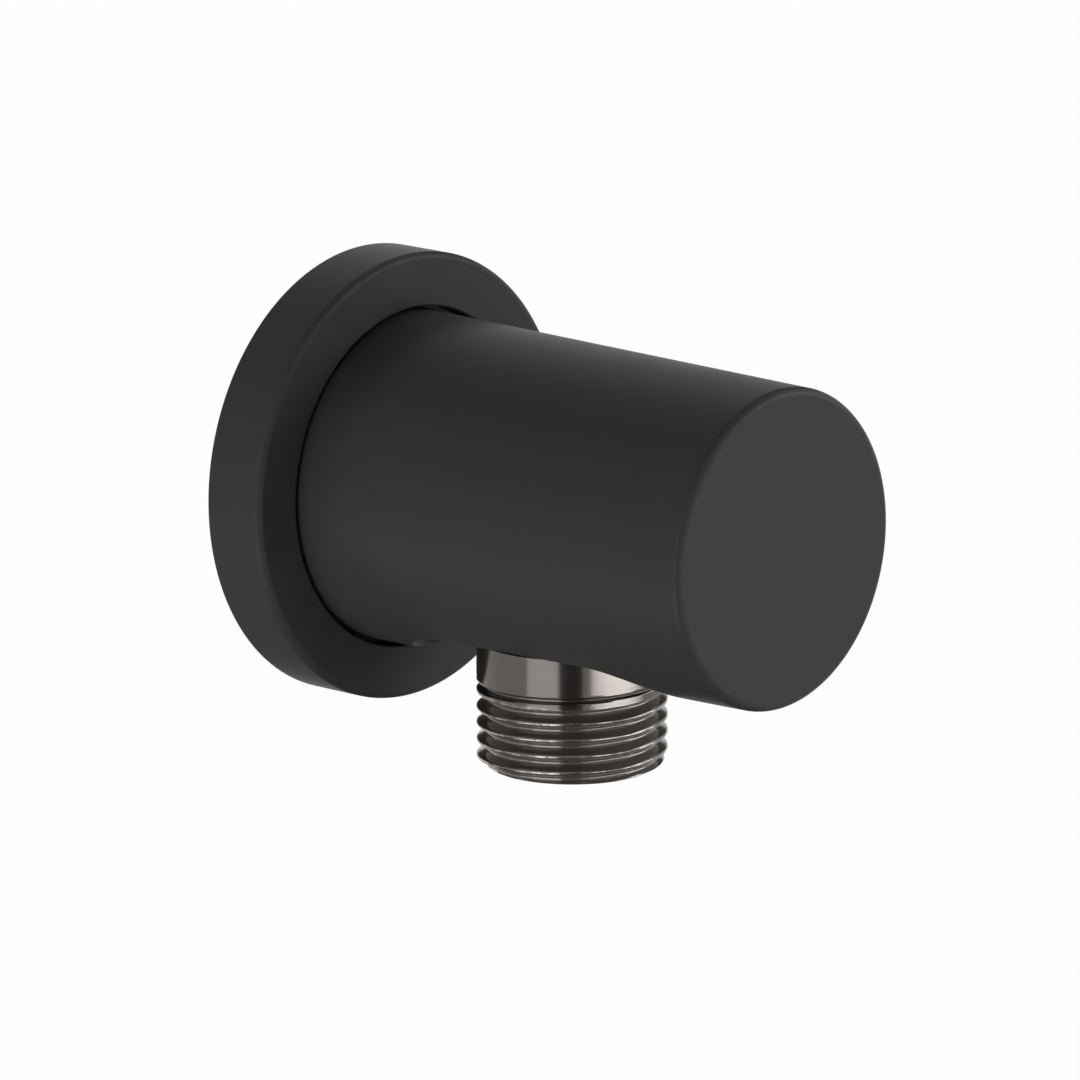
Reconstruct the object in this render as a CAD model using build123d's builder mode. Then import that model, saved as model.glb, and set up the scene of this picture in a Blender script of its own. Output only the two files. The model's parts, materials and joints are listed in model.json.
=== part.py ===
"""A wall outlet elbow for a shower hose, in millimetres.

The wall is the plane y = 0 and the body stands off it towards -y. The origin is on the axis
of the pipe thread, where it meets the wall. The hose thread points down, towards -z.
"""

import os
from math import hypot, radians, sin, sqrt, tan

from build123d import *

# Rosette, the round cover on the wall
rosette_diameter = 50.0
rosette_depth = 7.5
rosette_hole = 38.0
rosette_edge = 0.8
rosette_hole_edge = 0.2
rosette_face_wall = 2.0
rosette_skirt_wall = 1.2
rosette_collar_wall = 1.6
rosette_collar_gap = 0.8

# Body, with a slight casting draft towards its closed front
body_front_diameter = 35.0
body_reach = 61.0
body_draft = 1.0
body_edge = 1.0
body_wall_gap = 0.8
body_back_edge = 0.4

# Pocket milled under the body, the seat of the hose nipple, with round ends
pocket_width = 21.9
pocket_behind = 19.6
pocket_ahead = 22.0
pocket_height = 13.4
pocket_edge = 0.25
pocket_edge_clearance = 0.2

# Hose nipple
outlet_reach = 30.8
outlet_drop = 28.65
neck_drop = 18.65
neck_relief_length = 1.0
neck_relief = 0.45
neck_taper = 1.02
shank_radius = 8.95
shank_play = 0.1
shank_length = 5.4
end_chamfer = 0.6
outlet_bore = 6.6
outlet_hex = 11.0
outlet_hex_depth = 5.65

# Pipe thread G 1/2, on both nipples
thread_diameter = 20.955
thread_pitch = 1.814
thread_depth = 1.162
thread_flat = 0.35

# Wall nipple
wall_thread_length = 13.0
wall_relief_start = 1.0
wall_relief_width = 0.8
spigot_radius = 9.4
spigot_play = 0.1
spigot_end_play = 0.3
spigot_chamfer = 0.7
web = 2.0
wall_hex = 10.0
wall_hex_depth = 10.0
inlet_bore = 5.0
strainer_seat_radius = 6.6
strainer_seat_depth = 3.0

# Waterway between the two
chamber_radius = 7.0
chamber_overrun = 1.7
throat_radius = 6.5

# O-rings
ring_play = 0.03
spigot_ring_wire = 1.8
spigot_ring_first = 5.2
spigot_ring_step = 4.4
shank_ring_wire = 1.1
shank_ring_drop = 1.55
rosette_ring_wire = 1.5
rosette_ring_depth = 4.0
cartridge_ring_wire = 0.8
cartridge_ring_drop = 3.8
poppet_ring_wire = 1.0
groove_room = 0.4

# Grub screw, M6 with a hexagon socket
grub_diameter = 6.0
grub_play = 0.1
grub_behind = 15.6
grub_below_floor = 0.3
grub_hex = 3.0
grub_hex_depth = 2.2
grub_cone = 1.3
grub_tip_radius = 1.2
grub_tip_play = 0.1

# Check cartridge
cartridge_play = 0.1
cartridge_end_play = 0.2
cartridge_bore = 5.1
seat_socket_radius = 5.5
seat_thickness = 2.15
seat_opening = 3.2
seat_chamfer = 1.15
spider_thickness = 1.55
spider_rib_width = 1.2
spider_hub_radius = 2.7
stem_radius = 1.05
stem_play = 0.12
stem_short = 0.85
stem_shoulder = 1.55
poppet_radius = 4.2
poppet_thickness = 1.3
poppet_nose = 1.2
poppet_travel = 2.6
spring_radius = 2.1
spring_wire = 0.45
spring_turns = 6.0
spring_play = 0.05

# Strainer
strainer_plate = 0.8
strainer_play = 0.1
strainer_rim = 0.9
strainer_hole = 0.55
strainer_pitch = 1.75
strainer_web = 0.3

# Where each profile is drawn: x is the radius, y the distance out from the wall, or down
along_body = Plane(origin=(0, 0, 0), x_dir=(1, 0, 0), z_dir=(0, 0, -1))
along_outlet = Plane(origin=(0, -outlet_reach, 0), x_dir=(1, 0, 0), z_dir=(0, 1, 0))
body_axis = Axis((0, 0, 0), (0, -1, 0))
outlet_axis = Axis((0, -outlet_reach, 0), (0, 0, -1))

# Radii and stations that several pieces share
thread_radius = thread_diameter / 2
thread_root = thread_radius - thread_depth
body_front_radius = body_front_diameter / 2
body_root_radius = body_front_radius + (body_reach - rosette_depth) * tan(radians(body_draft))
shank_bore = shank_radius + shank_play
shank_top = pocket_height - shank_length
socket_radius = spigot_radius + spigot_play
socket_end = outlet_reach - shank_bore - web
spigot_end = socket_end - spigot_end_play
chamber_end = outlet_reach + chamber_radius + chamber_overrun
grub_depth = outlet_reach - grub_behind
cartridge_radius = outlet_bore - cartridge_play
cartridge_top = shank_top + cartridge_end_play
hex_start = outlet_drop - outlet_hex_depth
seat_top = cartridge_top
seat_bottom = seat_top + seat_thickness


def ring_centre(outer_radius, wire):
    """Gives the mean radius of an o-ring that just clears the bore around it."""
    return outer_radius - ring_play - wire / 2


def groove_floor(outer_radius, wire):
    """Gives the radius of the groove floor that an o-ring lies on."""
    return outer_radius - wire - 2 * ring_play


def ridges(first, count, crest, root):
    """Gives the outline of so many thread ridges from one station on."""
    flank = thread_pitch / 2 - thread_flat
    points = []
    for i in range(count):
        start = first + i * thread_pitch
        points.append((root, start))
        points.append((crest, start + flank))
        points.append((crest, start + flank + thread_flat))
        points.append((root, start + 2 * flank + thread_flat))
    return points


# Rosette: a face, a skirt on the wall and a collar around the body, with a channel between
collar_radius = rosette_hole / 2
channel_inner = collar_radius + rosette_collar_wall
channel_outer = rosette_diameter / 2 - rosette_skirt_wall
channel_floor = rosette_depth - rosette_face_wall
rosette_ring_half = rosette_ring_wire / 2 + groove_room / 2
rosette_groove = body_root_radius + rosette_ring_wire + 2 * ring_play

with BuildPart() as rosette:
    with BuildSketch(along_body):
        with BuildLine():
            Polyline(
                (collar_radius, rosette_collar_gap),
                (channel_inner, rosette_collar_gap),
                (channel_inner, channel_floor),
                (channel_outer, channel_floor),
                (channel_outer, 0),
                (rosette_diameter / 2, 0),
                (rosette_diameter / 2, rosette_depth),
                (collar_radius, rosette_depth),
                (collar_radius, rosette_ring_depth + rosette_ring_half),
                (rosette_groove, rosette_ring_depth + rosette_ring_half),
                (rosette_groove, rosette_ring_depth - rosette_ring_half),
                (collar_radius, rosette_ring_depth - rosette_ring_half),
                close=True,
            )
        make_face()
    revolve(axis=body_axis)
    front_face = rosette.faces().sort_by(Axis.Y)[0]
    rim_edges = front_face.edges().sort_by(SortBy.LENGTH)
    fillet(rim_edges[-1], radius=rosette_edge)
    front_face = rosette.faces().filter_by(GeomType.PLANE).sort_by(Axis.Y)[0]
    fillet(front_face.edges().sort_by(SortBy.LENGTH)[0], radius=rosette_hole_edge)
rosette.part.label = "rosette"

# Foam gasket that fills the rosette's channel and meets the wall
with BuildPart() as rosette_gasket:
    with BuildSketch(along_body):
        with BuildLine():
            Polyline(
                (channel_inner + ring_play, 0),
                (channel_outer - ring_play, 0),
                (channel_outer - ring_play, channel_floor - ring_play),
                (channel_inner + ring_play, channel_floor - ring_play),
                close=True,
            )
        make_face()
    revolve(axis=body_axis)
rosette_gasket.part.label = "rosette_gasket"

# O-ring that grips the body inside the rosette's collar
with BuildPart() as rosette_ring:
    with BuildSketch(along_body):
        with Locations((ring_centre(rosette_groove, rosette_ring_wire), rosette_ring_depth)):
            Circle(rosette_ring_wire / 2)
    revolve(axis=body_axis)
rosette_ring.part.label = "rosette_ring"

# Body: a drafted outside with a straight root, bored from the wall and from below
with BuildPart() as body:
    with BuildSketch(along_body):
        with BuildLine():
            Polyline(
                (0, body_wall_gap),
                (body_root_radius - body_back_edge, body_wall_gap),
                (body_root_radius, body_wall_gap + body_back_edge),
                (body_root_radius, rosette_depth),
                (body_front_radius, body_reach),
                (0, body_reach),
                close=True,
            )
        make_face()
    revolve(axis=body_axis)
    fillet(body.faces().sort_by(Axis.Y)[0].edges(), radius=body_edge)
    with BuildSketch(along_body):
        with BuildLine():
            Polyline(
                (0, body_wall_gap),
                (socket_radius + spigot_chamfer, body_wall_gap),
                (socket_radius, body_wall_gap + spigot_chamfer),
                (socket_radius, socket_end),
                (chamber_radius, socket_end + socket_radius - chamber_radius),
                (chamber_radius, chamber_end),
                (0, chamber_end + chamber_radius / 2),
                close=True,
            )
        make_face()
    revolve(axis=body_axis, mode=Mode.SUBTRACT)
    pocket_length = pocket_behind + pocket_ahead
    pocket_centre = outlet_reach + (pocket_ahead - pocket_behind) / 2
    with BuildSketch(Plane(origin=(0, -pocket_centre, -pocket_height))):
        SlotOverall(pocket_length, pocket_width, rotation=90)
    extrude(amount=-body_root_radius, mode=Mode.SUBTRACT)
    mouth_height = -pocket_height - pocket_edge_clearance
    mouth = body.edges(Select.LAST).filter_by(lambda edge: edge.bounding_box().max.Z < mouth_height)
    fillet(mouth, radius=pocket_edge)
    with BuildSketch(along_outlet):
        with BuildLine():
            Polyline(
                (0, 0),
                (throat_radius, 0),
                (throat_radius, shank_top - ring_play),
                (shank_bore, shank_top - ring_play),
                (shank_bore, pocket_height),
                (0, pocket_height),
                close=True,
            )
        make_face()
    revolve(axis=outlet_axis, mode=Mode.SUBTRACT)
    with BuildSketch(Plane(origin=(0, -grub_depth, 0))):
        Circle(grub_diameter / 2)
    extrude(amount=-body_root_radius, mode=Mode.SUBTRACT)
body.part.label = "body"

# Wall nipple: pipe thread, relief, spigot with two ring grooves and a screw groove
wall_thread_end = -wall_thread_length
wall_ridge_count = int(wall_thread_length / thread_pitch) + 2
wall_ridge_start = wall_relief_start - wall_ridge_count * thread_pitch
spigot_start = wall_relief_start + wall_relief_width
spigot_groove = groove_floor(socket_radius, spigot_ring_wire)
spigot_ring_half = spigot_ring_wire / 2 + groove_room / 2
spigot_ring_depths = [spigot_ring_first, spigot_ring_first + spigot_ring_step]
screw_groove_half = grub_cone + grub_tip_radius
screw_groove_floor = spigot_radius - grub_cone - grub_tip_play
spigot_outline = []
for ring_depth in spigot_ring_depths:
    spigot_outline.append((spigot_radius, ring_depth - spigot_ring_half))
    spigot_outline.append((spigot_groove, ring_depth - spigot_ring_half))
    spigot_outline.append((spigot_groove, ring_depth + spigot_ring_half))
    spigot_outline.append((spigot_radius, ring_depth + spigot_ring_half))

with BuildPart() as wall_nipple:
    with BuildSketch(along_body):
        with BuildLine():
            Polyline(
                (0, wall_ridge_start - thread_flat),
                (thread_root, wall_ridge_start - thread_flat),
                *ridges(wall_ridge_start, wall_ridge_count, thread_radius, thread_root),
                (thread_root, wall_relief_start),
                (spigot_radius - neck_relief, wall_relief_start),
                (spigot_radius - neck_relief, spigot_start),
                (spigot_radius, spigot_start),
                *spigot_outline,
                (spigot_radius, grub_depth - screw_groove_half),
                (screw_groove_floor, grub_depth - grub_tip_radius),
                (screw_groove_floor, grub_depth + grub_tip_radius),
                (spigot_radius, grub_depth + screw_groove_half),
                (spigot_radius, spigot_end - spigot_chamfer),
                (spigot_radius - spigot_chamfer, spigot_end),
                (0, spigot_end),
                close=True,
            )
        make_face()
    revolve(axis=body_axis)
    with BuildSketch(along_body):
        with BuildLine():
            Polyline(
                (0, wall_thread_end),
                (thread_radius - 2 * end_chamfer, wall_thread_end),
                (thread_radius, wall_thread_end + end_chamfer),
                (thread_radius, spigot_end),
                (0, spigot_end),
                close=True,
            )
        make_face()
    revolve(axis=body_axis, mode=Mode.INTERSECT)
    with BuildSketch(along_body):
        with BuildLine():
            Polyline(
                (0, wall_thread_end),
                (strainer_seat_radius, wall_thread_end),
                (strainer_seat_radius, wall_thread_end + strainer_seat_depth),
                (inlet_bore, wall_thread_end + strainer_seat_depth),
                (inlet_bore, spigot_end),
                (0, spigot_end),
                close=True,
            )
        make_face()
    revolve(axis=body_axis, mode=Mode.SUBTRACT)
    with BuildSketch(Plane(origin=(0, -spigot_end, 0), x_dir=(1, 0, 0), z_dir=(0, 1, 0))):
        RegularPolygon(wall_hex / 2, 6, major_radius=False)
    extrude(amount=wall_hex_depth, mode=Mode.SUBTRACT)
wall_nipple.part.label = "wall_nipple"

# Two o-rings that seal the spigot in the body
spigot_rings = []
for ring_depth in spigot_ring_depths:
    with BuildPart() as spigot_ring:
        with BuildSketch(along_body):
            with Locations((ring_centre(socket_radius, spigot_ring_wire), ring_depth)):
                Circle(spigot_ring_wire / 2)
        revolve(axis=body_axis)
    spigot_rings.append(spigot_ring.part)
spigot_rings[0].label = "spigot_ring_rear"
spigot_rings[1].label = "spigot_ring_front"

# Strainer: a perforated plate with a rim, pressed into the inlet
strainer_radius = strainer_seat_radius - strainer_play
strainer_face = wall_thread_end + strainer_seat_depth
hole_reach = strainer_radius - strainer_rim - strainer_web - strainer_hole
hole_rows = int(hole_reach / strainer_pitch) + 1
hole_spots = []
for row in range(-hole_rows, hole_rows + 1):
    for column in range(-2 * hole_rows, 2 * hole_rows + 1):
        hole_x = strainer_pitch * (column + row / 2)
        hole_y = strainer_pitch * row * sin(radians(60))
        if hypot(hole_x, hole_y) < hole_reach:
            hole_spots.append((hole_x, hole_y))
with BuildPart() as strainer:
    with BuildSketch(along_body):
        with BuildLine():
            Polyline(
                (0, strainer_face - strainer_plate),
                (strainer_radius - strainer_rim, strainer_face - strainer_plate),
                (strainer_radius - strainer_rim, wall_thread_end),
                (strainer_radius, wall_thread_end),
                (strainer_radius, strainer_face),
                (0, strainer_face),
                close=True,
            )
        make_face()
    revolve(axis=body_axis)
    with BuildSketch(Plane(origin=(0, -strainer_face, 0), x_dir=(1, 0, 0), z_dir=(0, 1, 0))):
        with Locations(*hole_spots):
            Circle(strainer_hole)
    extrude(amount=strainer_plate, mode=Mode.SUBTRACT)
strainer.part.label = "strainer"

# Grub screw: threaded shank with a cone point and a hexagon socket below
grub_top = screw_groove_floor + grub_tip_play
grub_bottom = pocket_height - grub_below_floor
with BuildPart() as grub_screw:
    with BuildSketch(Plane(origin=(0, -grub_depth, 0), x_dir=(1, 0, 0), z_dir=(0, 1, 0))):
        with BuildLine():
            Polyline(
                (0, grub_top),
                (grub_tip_radius, grub_top),
                (grub_diameter / 2 - grub_play, grub_top + grub_diameter / 2 - grub_tip_radius),
                (grub_diameter / 2 - grub_play, grub_bottom),
                (0, grub_bottom),
                close=True,
            )
        make_face()
    revolve(axis=Axis((0, -grub_depth, 0), (0, 0, -1)))
    with BuildSketch(Plane(origin=(0, -grub_depth, -grub_bottom))):
        RegularPolygon(grub_hex / 2, 6, major_radius=False)
    extrude(amount=grub_hex_depth, mode=Mode.SUBTRACT)
grub_screw.part.label = "grub_screw"

# Hose nipple: shank with a ring groove, relief, plain neck and pipe thread
shank_groove = groove_floor(shank_bore, shank_ring_wire)
shank_ring_half = shank_ring_wire / 2 + groove_room / 2
shank_ring_station = shank_top + shank_ring_drop
thread_start = neck_drop + neck_taper
ridge_count = int((outlet_drop - thread_start) / thread_pitch) + 1

with BuildPart() as outlet_nipple:
    with BuildSketch(along_outlet):
        with BuildLine():
            Polyline(
                (0, shank_top),
                (shank_radius, shank_top),
                (shank_radius, shank_ring_station - shank_ring_half),
                (shank_groove, shank_ring_station - shank_ring_half),
                (shank_groove, shank_ring_station + shank_ring_half),
                (shank_radius, shank_ring_station + shank_ring_half),
                (shank_radius, pocket_height),
                (thread_radius - neck_relief, pocket_height),
                (thread_radius - neck_relief, pocket_height + neck_relief_length),
                (thread_radius, pocket_height + neck_relief_length),
                (thread_radius, neck_drop),
                (thread_root, thread_start),
                *ridges(thread_start + thread_flat, ridge_count, thread_radius, thread_root),
                (thread_root, outlet_drop + 2 * thread_pitch),
                (0, outlet_drop + 2 * thread_pitch),
                close=True,
            )
        make_face()
    revolve(axis=outlet_axis)
    with BuildSketch(along_outlet):
        with BuildLine():
            Polyline(
                (0, 0),
                (thread_radius, 0),
                (thread_radius, outlet_drop - end_chamfer),
                (thread_radius - 2 * end_chamfer, outlet_drop),
                (0, outlet_drop),
                close=True,
            )
        make_face()
    revolve(axis=outlet_axis, mode=Mode.INTERSECT)
    with BuildSketch(Plane(origin=(0, -outlet_reach, -shank_top))):
        Circle(outlet_bore)
    extrude(amount=-(hex_start - shank_top), mode=Mode.SUBTRACT)
    with BuildSketch(Plane(origin=(0, -outlet_reach, -hex_start))):
        RegularPolygon(outlet_hex / 2, 6, major_radius=False)
    extrude(amount=-outlet_hex_depth, mode=Mode.SUBTRACT)
outlet_nipple.part.label = "outlet_nipple"

# O-ring between the nipple's shank and the body
with BuildPart() as outlet_ring:
    with BuildSketch(along_outlet):
        with Locations((ring_centre(shank_bore, shank_ring_wire), shank_ring_station)):
            Circle(shank_ring_wire / 2)
    revolve(axis=outlet_axis)
outlet_ring.part.label = "outlet_ring"

# Check cartridge's housing: a sleeve with a ring groove and a three-armed spider
cartridge_groove = groove_floor(outlet_bore, cartridge_ring_wire)
cartridge_ring_half = cartridge_ring_wire / 2 + groove_room / 2
cartridge_ring_station = cartridge_top + cartridge_ring_drop
spider_top = hex_start - ring_play - spider_thickness
with BuildPart() as check_housing:
    with BuildSketch(along_outlet):
        with BuildLine():
            Polyline(
                (seat_socket_radius, seat_top),
                (cartridge_radius, seat_top),
                (cartridge_radius, cartridge_ring_station - cartridge_ring_half),
                (cartridge_groove, cartridge_ring_station - cartridge_ring_half),
                (cartridge_groove, cartridge_ring_station + cartridge_ring_half),
                (cartridge_radius, cartridge_ring_station + cartridge_ring_half),
                (cartridge_radius, spider_top + spider_thickness),
                (cartridge_bore, spider_top + spider_thickness),
                (cartridge_bore, seat_bottom + ring_play),
                (seat_socket_radius, seat_bottom + ring_play),
                close=True,
            )
        make_face()
    revolve(axis=outlet_axis)
    with BuildSketch(Plane(origin=(0, -outlet_reach, -spider_top))):
        Circle(spider_hub_radius)
        with PolarLocations(cartridge_bore / 2, 3, start_angle=90):
            Rectangle(cartridge_bore + cartridge_play, spider_rib_width)
        Circle(stem_radius + stem_play, mode=Mode.SUBTRACT)
    extrude(amount=-spider_thickness)
check_housing.part.label = "check_housing"

# Seat ring in the top of the cartridge, with a cone that the poppet's o-ring closes on
with BuildPart() as check_seat:
    with BuildSketch(along_outlet):
        with BuildLine():
            Polyline(
                (seat_opening, seat_top),
                (seat_socket_radius - ring_play, seat_top),
                (seat_socket_radius - ring_play, seat_bottom),
                (seat_opening + seat_chamfer, seat_bottom),
                (seat_opening, seat_bottom - seat_chamfer),
                close=True,
            )
        make_face()
    revolve(axis=outlet_axis)
check_seat.part.label = "check_seat"

# Poppet: nose in the seat, a step for its o-ring, head, guided stem and the shoulder that stops it
poppet_ring_room = sqrt(2) * (poppet_ring_wire / 2 + ring_play)
poppet_ring_centre = seat_opening + seat_chamfer - poppet_ring_room
poppet_ring_station = seat_bottom
poppet_step = poppet_ring_centre - poppet_ring_wire / 2 - ring_play
poppet_head_top = poppet_ring_station + poppet_ring_wire / 2 + ring_play
poppet_head_bottom = poppet_head_top + poppet_thickness
stem_end = spider_top + spider_thickness - stem_short
with BuildPart() as check_poppet:
    with BuildSketch(along_outlet):
        with BuildLine():
            Polyline(
                (0, seat_bottom - poppet_nose),
                (poppet_step - poppet_nose / 2, seat_bottom - poppet_nose),
                (poppet_step, seat_bottom - poppet_nose / 2),
                (poppet_step, poppet_head_top),
                (poppet_radius, poppet_head_top),
                (poppet_radius, poppet_head_bottom),
                (stem_shoulder, poppet_head_bottom),
                (stem_shoulder, spider_top - poppet_travel),
                (stem_radius, spider_top - poppet_travel),
                (stem_radius, stem_end),
                (0, stem_end),
                close=True,
            )
        make_face()
    revolve(axis=outlet_axis)
check_poppet.part.label = "check_poppet"

# The poppet's o-ring
with BuildPart() as poppet_ring:
    with BuildSketch(along_outlet):
        with Locations((poppet_ring_centre, poppet_ring_station)):
            Circle(poppet_ring_wire / 2)
    revolve(axis=outlet_axis)
poppet_ring.part.label = "poppet_ring"

# Spring from the spider's hub up to the poppet's head
spring_bottom = spider_top - spring_play - spring_wire / 2
spring_top = poppet_head_bottom + spring_play + spring_wire / 2
spring_height = spring_bottom - spring_top
with BuildPart() as check_spring:
    with BuildLine() as spring_line:
        Helix(
            pitch=spring_height / spring_turns,
            height=spring_height,
            radius=spring_radius,
            center=(0, -outlet_reach, -spring_bottom),
        )
    with BuildSketch(Plane(origin=spring_line.line @ 0, z_dir=spring_line.line % 0)):
        Circle(spring_wire / 2)
    sweep(is_frenet=True)
check_spring.part.label = "check_spring"

# O-ring around the cartridge
with BuildPart() as cartridge_ring:
    with BuildSketch(along_outlet):
        with Locations((ring_centre(outlet_bore, cartridge_ring_wire), cartridge_ring_station)):
            Circle(cartridge_ring_wire / 2)
    revolve(axis=outlet_axis)
cartridge_ring.part.label = "cartridge_ring"

os.makedirs("parts", exist_ok=True)
export_step(rosette.part, "parts/rosette.step")
export_step(rosette_gasket.part, "parts/rosette_gasket.step")
export_step(rosette_ring.part, "parts/rosette_ring.step")
export_step(body.part, "parts/body.step")
export_step(wall_nipple.part, "parts/wall_nipple.step")
export_step(spigot_rings[0], "parts/spigot_ring_rear.step")
export_step(spigot_rings[1], "parts/spigot_ring_front.step")
export_step(strainer.part, "parts/strainer.step")
export_step(grub_screw.part, "parts/grub_screw.step")
export_step(outlet_nipple.part, "parts/outlet_nipple.step")
export_step(outlet_ring.part, "parts/outlet_ring.step")
export_step(check_housing.part, "parts/check_housing.step")
export_step(check_seat.part, "parts/check_seat.step")
export_step(check_poppet.part, "parts/check_poppet.step")
export_step(poppet_ring.part, "parts/poppet_ring.step")
export_step(check_spring.part, "parts/check_spring.step")
export_step(cartridge_ring.part, "parts/cartridge_ring.step")
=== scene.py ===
"""Dresses a wall outlet elbow: matt black shower elbow, dark nickel hose nipple, brass wall nipple.

The wall is the plane y = 0, the body stands off it towards -y and the hose nipple points
down. Everything is in metres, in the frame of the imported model.
"""

from __future__ import annotations

import json
import logging
import math
from dataclasses import dataclass, field
from enum import Enum
from functools import reduce
from typing import Any, Callable, Iterable

import bmesh
import bpy
from mathutils import Matrix, Vector


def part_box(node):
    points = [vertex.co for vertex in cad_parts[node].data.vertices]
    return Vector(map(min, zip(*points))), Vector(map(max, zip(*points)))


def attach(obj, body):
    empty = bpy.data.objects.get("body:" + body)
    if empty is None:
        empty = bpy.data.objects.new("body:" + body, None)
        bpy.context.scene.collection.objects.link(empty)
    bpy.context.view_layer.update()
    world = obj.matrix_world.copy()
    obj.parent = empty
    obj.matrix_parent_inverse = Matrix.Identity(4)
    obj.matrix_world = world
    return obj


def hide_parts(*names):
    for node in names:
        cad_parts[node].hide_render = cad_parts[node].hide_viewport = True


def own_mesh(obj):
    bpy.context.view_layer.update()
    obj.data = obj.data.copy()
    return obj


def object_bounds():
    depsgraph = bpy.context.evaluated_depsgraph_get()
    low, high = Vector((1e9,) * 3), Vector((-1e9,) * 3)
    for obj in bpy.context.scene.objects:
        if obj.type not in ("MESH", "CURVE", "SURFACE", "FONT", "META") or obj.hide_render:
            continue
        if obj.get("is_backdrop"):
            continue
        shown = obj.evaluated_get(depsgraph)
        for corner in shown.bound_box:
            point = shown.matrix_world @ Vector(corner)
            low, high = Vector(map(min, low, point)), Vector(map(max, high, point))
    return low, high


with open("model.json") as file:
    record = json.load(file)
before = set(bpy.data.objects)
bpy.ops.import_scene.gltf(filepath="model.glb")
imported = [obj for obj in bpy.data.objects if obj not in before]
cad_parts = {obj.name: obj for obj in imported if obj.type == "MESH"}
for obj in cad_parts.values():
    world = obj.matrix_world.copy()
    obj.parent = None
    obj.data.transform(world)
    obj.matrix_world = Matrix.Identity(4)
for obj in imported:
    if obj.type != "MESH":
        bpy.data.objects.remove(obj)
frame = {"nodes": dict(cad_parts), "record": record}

log = logging.getLogger("wall_outlet_elbow")

MM = 0.001
FIXED_BODY = "elbow"
TURN_STEPS = 168
UP = Vector((0.0, 0.0, 1.0))


def mount_radius(name: str) -> float:
    """Gives the radius of one of the record's mounts.

    Args:
        name: the mount's name.

    Returns:
        Its radius in metres.
    """
    mount = next(m for m in frame["record"]["mounts"] if m["name"] == name)
    return mount["dims"]["r_mm"] * MM


def middle(name: str) -> Vector:
    """Gives the middle of a CAD piece's box.

    Args:
        name: the piece's node.

    Returns:
        The point in metres.
    """
    low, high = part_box(name)
    return (Vector(low) + Vector(high)) / 2


class Ray(Enum):
    """The kinds of ray that see the pale surroundings."""

    CAMERA = "Is Camera Ray"
    GLOSSY = "Is Glossy Ray"
    TRANSMISSION = "Is Transmission Ray"


@dataclass
class Signal:
    """A shader socket that can be used in sums, as in 0.4 + 0.1 * mask."""

    graph: "Graph"
    socket: bpy.types.NodeSocket

    def _math(self, operation: str, left: Any, right: Any) -> "Signal":
        """Adds one Math node.

        Args:
            operation: the node's operation.
            left: the first value or signal.
            right: the second value or signal.

        Returns:
            The node's result.
        """
        return self.graph.node("ShaderNodeMath", {"operation": operation}, [left, right])

    def __add__(self, other: Any) -> "Signal":
        """Adds."""
        return self._math("ADD", self, other)

    def __radd__(self, other: Any) -> "Signal":
        """Adds, from the right."""
        return self._math("ADD", other, self)

    def __sub__(self, other: Any) -> "Signal":
        """Subtracts."""
        return self._math("SUBTRACT", self, other)

    def __rsub__(self, other: Any) -> "Signal":
        """Subtracts this from a value."""
        return self._math("SUBTRACT", other, self)

    def __mul__(self, other: Any) -> "Signal":
        """Multiplies."""
        return self._math("MULTIPLY", self, other)

    def __rmul__(self, other: Any) -> "Signal":
        """Multiplies, from the right."""
        return self._math("MULTIPLY", other, self)

    def highest(self, other: Any) -> "Signal":
        """The higher of this and another value."""
        return self._math("MAXIMUM", self, other)


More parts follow.
